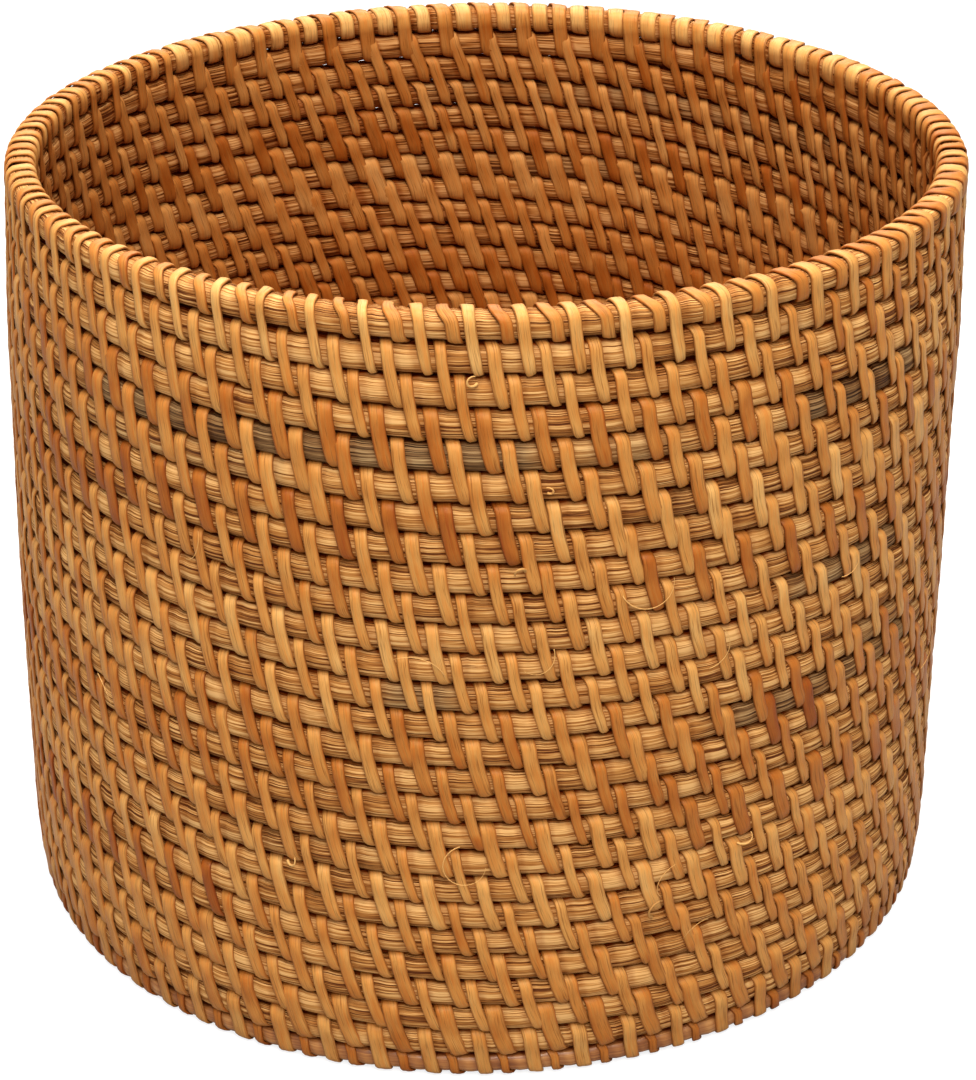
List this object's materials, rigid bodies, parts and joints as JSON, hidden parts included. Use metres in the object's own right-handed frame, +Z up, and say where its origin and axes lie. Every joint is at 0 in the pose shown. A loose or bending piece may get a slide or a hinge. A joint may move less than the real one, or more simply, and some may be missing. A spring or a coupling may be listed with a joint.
{
  "type": "wastebasket",
  "caption": "Open round wastebasket of coiled rattan: straight wall of stacked round rods tied with flat cane strips, flat spiral base, thick rim and slim foot ring.",
  "frame": {"origin": "centre of the round foot, in the plane the basket stands on", "axes": "+Z up along the basket's round axis, from the foot to the open rim; +X and +Y are any two square directions, as the wall is the same all round"},
  "size_m": [0.26, 0.26, 0.2128],
  "materials": {
    "rattan_core": "matt peeled rattan core, fibrous along its length, straw to honey brown with grey weathered lengths",
    "cane_strip": "satin cane strip, golden tan to rust orange, fine lengthwise grain",
    "smooth_cane": "smooth satin reddish-brown whole cane"
  },
  "bodies": {
    "root": {"foot_ring": "smooth_cane", "foot_lashing": "cane_strip", "base_coil": "rattan_core", "base_lashing": "cane_strip", "wall_coil_01": "rattan_core", "wall_coil_02": "rattan_core", "wall_coil_03": "rattan_core", "wall_coil_04": "rattan_core", "wall_coil_05": "rattan_core", "wall_coil_06": "rattan_core", "wall_coil_07": "rattan_core", "wall_coil_08": "rattan_core", "wall_coil_09": "rattan_core", "wall_coil_10": "rattan_core", "wall_coil_11": "rattan_core", "wall_coil_12": "rattan_core", "wall_coil_13": "rattan_core", "wall_coil_14": "rattan_core", "wall_coil_15": "rattan_core", "wall_coil_16": "rattan_core", "wall_coil_17": "rattan_core", "wall_coil_18": "rattan_core", "wall_coil_19": "rattan_core", "wall_coil_20": "rattan_core", "wall_coil_21": "rattan_core", "wall_coil_22": "rattan_core", "wall_coil_23": "rattan_core", "wall_coil_24": "rattan_core", "wall_coil_25": "rattan_core", "wall_lashing_01": "cane_strip", "wall_lashing_02": "cane_strip", "wall_lashing_03": "cane_strip", "wall_lashing_04": "cane_strip", "wall_lashing_05": "cane_strip", "wall_lashing_06": "cane_strip", "wall_lashing_07": "cane_strip", "wall_lashing_08": "cane_strip", "wall_lashing_09": "cane_strip", "wall_lashing_10": "cane_strip", "wall_lashing_11": "cane_strip", "wall_lashing_12": "cane_strip", "wall_lashing_13": "cane_strip", "wall_lashing_14": "cane_strip", "wall_lashing_15": "cane_strip", "wall_lashing_16": "cane_strip", "wall_lashing_17": "cane_strip", "wall_lashing_18": "cane_strip", "wall_lashing_19": "cane_strip", "wall_lashing_20": "cane_strip", "wall_lashing_21": "cane_strip", "wall_lashing_22": "cane_strip", "wall_lashing_23": "cane_strip", "wall_lashing_24": "cane_strip", "rim_rod": "rattan_core", "rim_lashing": "cane_strip"}
  },
  "joints": []
}
